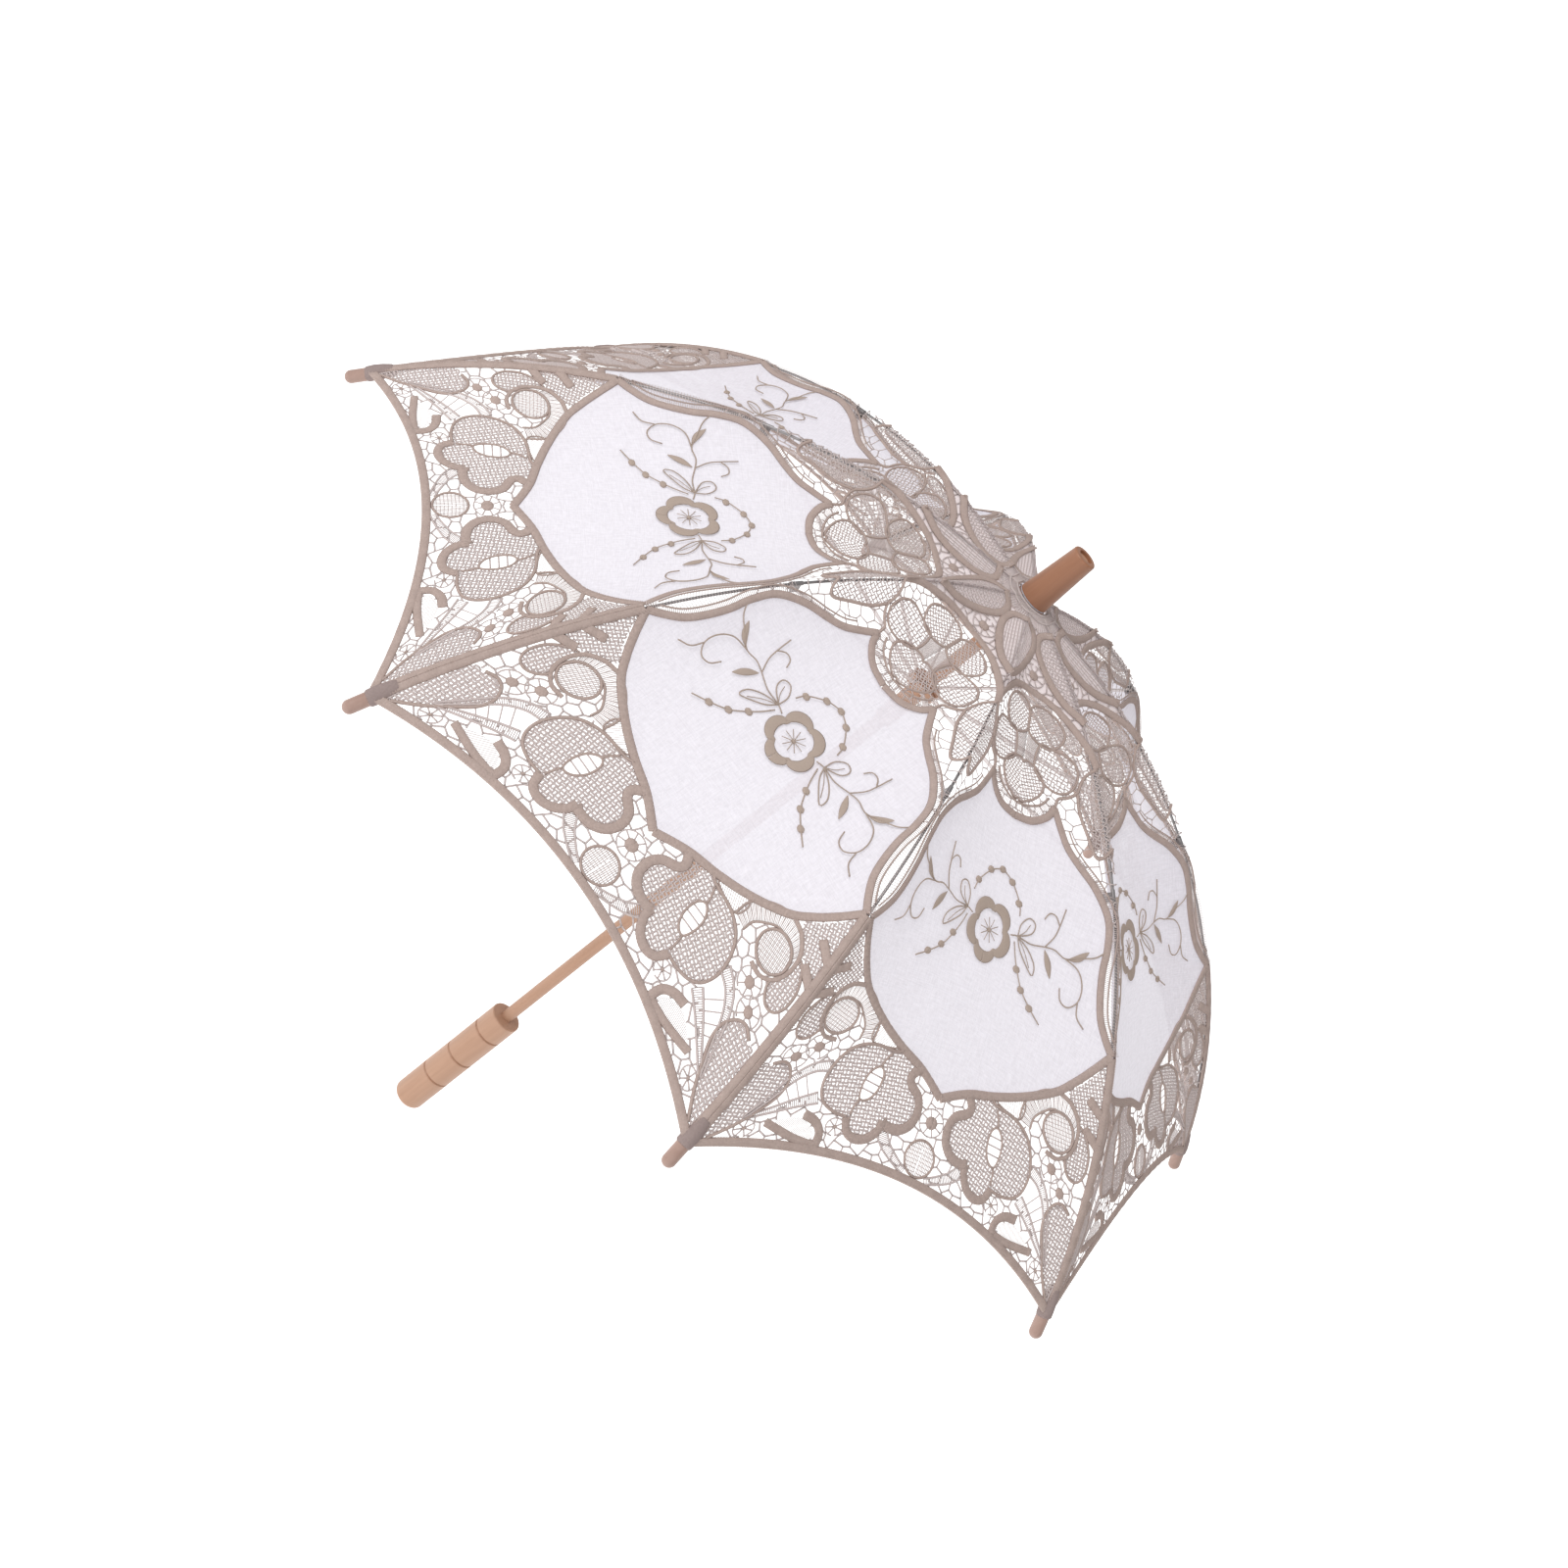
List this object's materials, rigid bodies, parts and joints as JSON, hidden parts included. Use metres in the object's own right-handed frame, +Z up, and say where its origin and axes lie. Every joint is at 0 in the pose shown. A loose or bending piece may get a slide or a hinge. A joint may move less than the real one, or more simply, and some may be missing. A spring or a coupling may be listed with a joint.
{
  "type": "lace parasol",
  "caption": "Open wooden-shafted parasol with curved wire ribs, a scalloped tape-lace and cotton canopy, a sliding runner and a turned handle.",
  "frame": {"origin": "middle of the hand grip, on the shaft's axis", "axes": "+Z up the shaft towards the ferrule; +X along rib 1; the other ribs follow every 45 degrees towards +Y"},
  "size_m": [0.802, 0.802, 0.678],
  "materials": {
    "pale_wood": "satin varnish",
    "ferrule_wood": "satin varnish",
    "turned_wood": "satin",
    "crown_cloth": "matt woven",
    "steel_wire": "drawn wire",
    "rib_steel": "dull drawn wire",
    "lace": "matt cotton tape lace"
  },
  "bodies": {
    "frame": {"shaft": "pale_wood", "handle": "pale_wood", "ferrule": "ferrule_wood", "crown_washer": "crown_cloth", "top_notch": "turned_wood", "notch_wire": "steel_wire", "spring_pins": "steel_wire", "stop_pin": "steel_wire"},
    "runner": {"runner": "turned_wood", "runner_wire": "steel_wire"},
    "top_catch": {"top_spring": "steel_wire"},
    "bottom_catch": {"bottom_spring": "steel_wire"},
    "rib_1": {"rib_1": "rib_steel", "rib_tip_1": "pale_wood", "rib_clip_1": "rib_steel"},
    "stretcher_1": {"stretcher_1": "rib_steel"},
    "canopy_left_1": {"canopy_left_1": "lace"},
    "canopy_right_1": {"canopy_right_1": "lace"},
    "rib_2": {"rib_2": "rib_steel", "rib_tip_2": "pale_wood", "rib_clip_2": "rib_steel"},
    "stretcher_2": {"stretcher_2": "rib_steel"},
    "canopy_left_2": {"canopy_left_2": "lace"},
    "canopy_right_2": {"canopy_right_2": "lace"},
    "rib_3": {"rib_3": "rib_steel", "rib_tip_3": "pale_wood", "rib_clip_3": "rib_steel"},
    "stretcher_3": {"stretcher_3": "rib_steel"},
    "canopy_left_3": {"canopy_left_3": "lace"},
    "canopy_right_3": {"canopy_right_3": "lace"},
    "rib_4": {"rib_4": "rib_steel", "rib_tip_4": "pale_wood", "rib_clip_4": "rib_steel"},
    "stretcher_4": {"stretcher_4": "rib_steel"},
    "canopy_left_4": {"canopy_left_4": "lace"},
    "canopy_right_4": {"canopy_right_4": "lace"},
    "rib_5": {"rib_5": "rib_steel", "rib_tip_5": "pale_wood", "rib_clip_5": "rib_steel"},
    "stretcher_5": {"stretcher_5": "rib_steel"},
    "canopy_left_5": {"canopy_left_5": "lace"},
    "canopy_right_5": {"canopy_right_5": "lace"},
    "rib_6": {"rib_6": "rib_steel", "rib_tip_6": "pale_wood", "rib_clip_6": "rib_steel"},
    "stretcher_6": {"stretcher_6": "rib_steel"},
    "canopy_left_6": {"canopy_left_6": "lace"},
    "canopy_right_6": {"canopy_right_6": "lace"},
    "rib_7": {"rib_7": "rib_steel", "rib_tip_7": "pale_wood", "rib_clip_7": "rib_steel"},
    "stretcher_7": {"stretcher_7": "rib_steel"},
    "canopy_left_7": {"canopy_left_7": "lace"},
    "canopy_right_7": {"canopy_right_7": "lace"},
    "rib_8": {"rib_8": "rib_steel", "rib_tip_8": "pale_wood", "rib_clip_8": "rib_steel"},
    "stretcher_8": {"stretcher_8": "rib_steel"},
    "canopy_left_8": {"canopy_left_8": "lace"},
    "canopy_right_8": {"canopy_right_8": "lace"}
  },
  "joints": [
    {"name": "runner_slide", "type": "slide", "parent": "frame", "child": "runner", "axis": [0, 0, 1], "range_m": [-0.27426, 0]},
    {"name": "top_catch_press", "type": "hinge", "parent": "frame", "child": "top_catch", "pos_m": [0.00057, -0.00139, 0.40836], "axis": [0.9239, 0.3827, 0], "range_deg": [-2.9, 0], "stiffness_Nm_per_rad": 0.3},
    {"name": "bottom_catch_press", "type": "hinge", "parent": "frame", "child": "bottom_catch", "pos_m": [0.00057, -0.00139, 0.24191], "axis": [0.9239, 0.3827, 0], "range_deg": [0, 2.9], "stiffness_Nm_per_rad": 0.3},
    {"name": "rib_1_pivot", "type": "hinge", "parent": "frame", "child": "rib_1", "pos_m": [0.009, 0, 0.57271], "axis": [0, 1, 0], "range_deg": [-0.1, 60.1]},
    {"name": "stretcher_1_pivot", "type": "hinge", "parent": "rib_1", "child": "stretcher_1", "pos_m": [0.19432, 0, 0.52599], "axis": [0, 1, 0], "range_deg": [-120.1, 0.1]},
    {"name": "canopy_left_1_fold", "type": "hinge", "parent": "rib_1", "child": "canopy_left_1", "pos_m": [0.28716, 0.11907, 0.56058], "axis": [0.8557, -0.4786, -0.1967], "range_deg": [-53.61, 0.1], "deforming": ["canopy_left_1"]},
    {"name": "canopy_right_1_fold", "type": "hinge", "parent": "rib_1", "child": "canopy_right_1", "pos_m": [0.28716, -0.11907, 0.56058], "axis": [0.8557, 0.4786, -0.1967], "range_deg": [-0.1, 53.61], "deforming": ["canopy_right_1"]},
    {"name": "rib_2_pivot", "type": "hinge", "parent": "frame", "child": "rib_2", "pos_m": [0.00636, 0.00636, 0.57271], "axis": [-0.7071, 0.7071, 0], "range_deg": [-0.1, 60.1]},
    {"name": "stretcher_2_pivot", "type": "hinge", "parent": "rib_2", "child": "stretcher_2", "pos_m": [0.1374, 0.1374, 0.52599], "axis": [-0.7071, 0.7071, 0], "range_deg": [-120.1, 0.1]},
    {"name": "canopy_left_2_fold", "type": "hinge", "parent": "rib_2", "child": "canopy_left_2", "pos_m": [0.11886, 0.28725, 0.56058], "axis": [0.9435, 0.2666, -0.1967], "range_deg": [-53.61, 0.1], "deforming": ["canopy_left_2"]},
    {"name": "canopy_right_2_fold", "type": "hinge", "parent": "rib_2", "child": "canopy_right_2", "pos_m": [0.28725, 0.11886, 0.56058], "axis": [0.2666, 0.9435, -0.1967], "range_deg": [-0.1, 53.61], "deforming": ["canopy_right_2"]},
    {"name": "rib_3_pivot", "type": "hinge", "parent": "frame", "child": "rib_3", "pos_m": [0, 0.009, 0.57271], "axis": [-1, 0, 0], "range_deg": [-0.1, 60.1]},
    {"name": "stretcher_3_pivot", "type": "hinge", "parent": "rib_3", "child": "stretcher_3", "pos_m": [0, 0.19432, 0.52599], "axis": [-1, 0, 0], "range_deg": [-120.1, 0.1]},
    {"name": "canopy_left_3_fold", "type": "hinge", "parent": "rib_3", "child": "canopy_left_3", "pos_m": [-0.11907, 0.28716, 0.56058], "axis": [0.4786, 0.8557, -0.1967], "range_deg": [-53.61, 0.1], "deforming": ["canopy_left_3"]},
    {"name": "canopy_right_3_fold", "type": "hinge", "parent": "rib_3", "child": "canopy_right_3", "pos_m": [0.11907, 0.28716, 0.56058], "axis": [-0.4786, 0.8557, -0.1967], "range_deg": [-0.1, 53.61], "deforming": ["canopy_right_3"]},
    {"name": "rib_4_pivot", "type": "hinge", "parent": "frame", "child": "rib_4", "pos_m": [-0.00636, 0.00636, 0.57271], "axis": [-0.7071, -0.7071, 0], "range_deg": [-0.1, 60.1]},
    {"name": "stretcher_4_pivot", "type": "hinge", "parent": "rib_4", "child": "stretcher_4", "pos_m": [-0.1374, 0.1374, 0.52599], "axis": [-0.7071, -0.7071, 0], "range_deg": [-120.1, 0.1]},
    {"name": "canopy_left_4_fold", "type": "hinge", "parent": "rib_4", "child": "canopy_left_4", "pos_m": [-0.28725, 0.11886, 0.56058], "axis": [-0.2666, 0.9435, -0.1967], "range_deg": [-53.61, 0.1], "deforming": ["canopy_left_4"]},
    {"name": "canopy_right_4_fold", "type": "hinge", "parent": "rib_4", "child": "canopy_right_4", "pos_m": [-0.11886, 0.28725, 0.56058], "axis": [-0.9435, 0.2666, -0.1967], "range_deg": [-0.1, 53.61], "deforming": ["canopy_right_4"]},
    {"name": "rib_5_pivot", "type": "hinge", "parent": "frame", "child": "rib_5", "pos_m": [-0.009, 0, 0.57271], "axis": [0, -1, 0], "range_deg": [-0.1, 60.1]},
    {"name": "stretcher_5_pivot", "type": "hinge", "parent": "rib_5", "child": "stretcher_5", "pos_m": [-0.19432, 0, 0.52599], "axis": [0, -1, 0], "range_deg": [-120.1, 0.1]},
    {"name": "canopy_left_5_fold", "type": "hinge", "parent": "rib_5", "child": "canopy_left_5", "pos_m": [-0.28716, -0.11907, 0.56058], "axis": [-0.8557, 0.4786, -0.1967], "range_deg": [-53.61, 0.1], "deforming": ["canopy_left_5"]},
    {"name": "canopy_right_5_fold", "type": "hinge", "parent": "rib_5", "child": "canopy_right_5", "pos_m": [-0.28716, 0.11907, 0.56058], "axis": [-0.8557, -0.4786, -0.1967], "range_deg": [-0.1, 53.61], "deforming": ["canopy_right_5"]},
    {"name": "rib_6_pivot", "type": "hinge", "parent": "frame", "child": "rib_6", "pos_m": [-0.00636, -0.00636, 0.57271], "axis": [0.7071, -0.7071, 0], "range_deg": [-0.1, 60.1]},
    {"name": "stretcher_6_pivot", "type": "hinge", "parent": "rib_6", "child": "stretcher_6", "pos_m": [-0.1374, -0.1374, 0.52599], "axis": [0.7071, -0.7071, 0], "range_deg": [-120.1, 0.1]},
    {"name": "canopy_left_6_fold", "type": "hinge", "parent": "rib_6", "child": "canopy_left_6", "pos_m": [-0.11886, -0.28725, 0.56058], "axis": [-0.9435, -0.2666, -0.1967], "range_deg": [-53.61, 0.1], "deforming": ["canopy_left_6"]},
    {"name": "canopy_right_6_fold", "type": "hinge", "parent": "rib_6", "child": "canopy_right_6", "pos_m": [-0.28725, -0.11886, 0.56058], "axis": [-0.2666, -0.9435, -0.1967], "range_deg": [-0.1, 53.61], "deforming": ["canopy_right_6"]},
    {"name": "rib_7_pivot", "type": "hinge", "parent": "frame", "child": "rib_7", "pos_m": [0, -0.009, 0.57271], "axis": [1, 0, 0], "range_deg": [-0.1, 60.1]},
    {"name": "stretcher_7_pivot", "type": "hinge", "parent": "rib_7", "child": "stretcher_7", "pos_m": [0, -0.19432, 0.52599], "axis": [1, 0, 0], "range_deg": [-120.1, 0.1]},
    {"name": "canopy_left_7_fold", "type": "hinge", "parent": "rib_7", "child": "canopy_left_7", "pos_m": [0.11907, -0.28716, 0.56058], "axis": [-0.4786, -0.8557, -0.1967], "range_deg": [-53.61, 0.1], "deforming": ["canopy_left_7"]},
    {"name": "canopy_right_7_fold", "type": "hinge", "parent": "rib_7", "child": "canopy_right_7", "pos_m": [-0.11907, -0.28716, 0.56058], "axis": [0.4786, -0.8557, -0.1967], "range_deg": [-0.1, 53.61], "deforming": ["canopy_right_7"]},
    {"name": "rib_8_pivot", "type": "hinge", "parent": "frame", "child": "rib_8", "pos_m": [0.00636, -0.00636, 0.57271], "axis": [0.7071, 0.7071, 0], "range_deg": [-0.1, 60.1]},
    {"name": "stretcher_8_pivot", "type": "hinge", "parent": "rib_8", "child": "stretcher_8", "pos_m": [0.1374, -0.1374, 0.52599], "axis": [0.7071, 0.7071, 0], "range_deg": [-120.1, 0.1]},
    {"name": "canopy_left_8_fold", "type": "hinge", "parent": "rib_8", "child": "canopy_left_8", "pos_m": [0.28725, -0.11886, 0.56058], "axis": [0.2666, -0.9435, -0.1967], "range_deg": [-53.61, 0.1], "deforming": ["canopy_left_8"]},
    {"name": "canopy_right_8_fold", "type": "hinge", "parent": "rib_8", "child": "canopy_right_8", "pos_m": [0.11886, -0.28725, 0.56058], "axis": [0.9435, -0.2666, -0.1967], "range_deg": [-0.1, 53.61], "deforming": ["canopy_right_8"]}
  ],
  "couplings": [
    {"joint": "rib_1_pivot", "follows": "runner_slide", "rad_per_m": -3.8183},
    {"joint": "stretcher_1_pivot", "follows": "runner_slide", "rad_per_m": 7.6366},
    {"joint": "canopy_left_1_fold", "follows": "runner_slide", "rad_per_m": 3.4056},
    {"joint": "canopy_right_1_fold", "follows": "runner_slide", "rad_per_m": -3.4056},
    {"joint": "rib_2_pivot", "follows": "runner_slide", "rad_per_m": -3.8183},
    {"joint": "stretcher_2_pivot", "follows": "runner_slide", "rad_per_m": 7.6366},
    {"joint": "canopy_left_2_fold", "follows": "runner_slide", "rad_per_m": 3.4056},
    {"joint": "canopy_right_2_fold", "follows": "runner_slide", "rad_per_m": -3.4056},
    {"joint": "rib_3_pivot", "follows": "runner_slide", "rad_per_m": -3.8183},
    {"joint": "stretcher_3_pivot", "follows": "runner_slide", "rad_per_m": 7.6366},
    {"joint": "canopy_left_3_fold", "follows": "runner_slide", "rad_per_m": 3.4056},
    {"joint": "canopy_right_3_fold", "follows": "runner_slide", "rad_per_m": -3.4056},
    {"joint": "rib_4_pivot", "follows": "runner_slide", "rad_per_m": -3.8183},
    {"joint": "stretcher_4_pivot", "follows": "runner_slide", "rad_per_m": 7.6366},
    {"joint": "canopy_left_4_fold", "follows": "runner_slide", "rad_per_m": 3.4056},
    {"joint": "canopy_right_4_fold", "follows": "runner_slide", "rad_per_m": -3.4056},
    {"joint": "rib_5_pivot", "follows": "runner_slide", "rad_per_m": -3.8183},
    {"joint": "stretcher_5_pivot", "follows": "runner_slide", "rad_per_m": 7.6366},
    {"joint": "canopy_left_5_fold", "follows": "runner_slide", "rad_per_m": 3.4056},
    {"joint": "canopy_right_5_fold", "follows": "runner_slide", "rad_per_m": -3.4056},
    {"joint": "rib_6_pivot", "follows": "runner_slide", "rad_per_m": -3.8183},
    {"joint": "stretcher_6_pivot", "follows": "runner_slide", "rad_per_m": 7.6366},
    {"joint": "canopy_left_6_fold", "follows": "runner_slide", "rad_per_m": 3.4056},
    {"joint": "canopy_right_6_fold", "follows": "runner_slide", "rad_per_m": -3.4056},
    {"joint": "rib_7_pivot", "follows": "runner_slide", "rad_per_m": -3.8183},
    {"joint": "stretcher_7_pivot", "follows": "runner_slide", "rad_per_m": 7.6366},
    {"joint": "canopy_left_7_fold", "follows": "runner_slide", "rad_per_m": 3.4056},
    {"joint": "canopy_right_7_fold", "follows": "runner_slide", "rad_per_m": -3.4056},
    {"joint": "rib_8_pivot", "follows": "runner_slide", "rad_per_m": -3.8183},
    {"joint": "stretcher_8_pivot", "follows": "runner_slide", "rad_per_m": 7.6366},
    {"joint": "canopy_left_8_fold", "follows": "runner_slide", "rad_per_m": 3.4056},
    {"joint": "canopy_right_8_fold", "follows": "runner_slide", "rad_per_m": -3.4056}
  ]
}
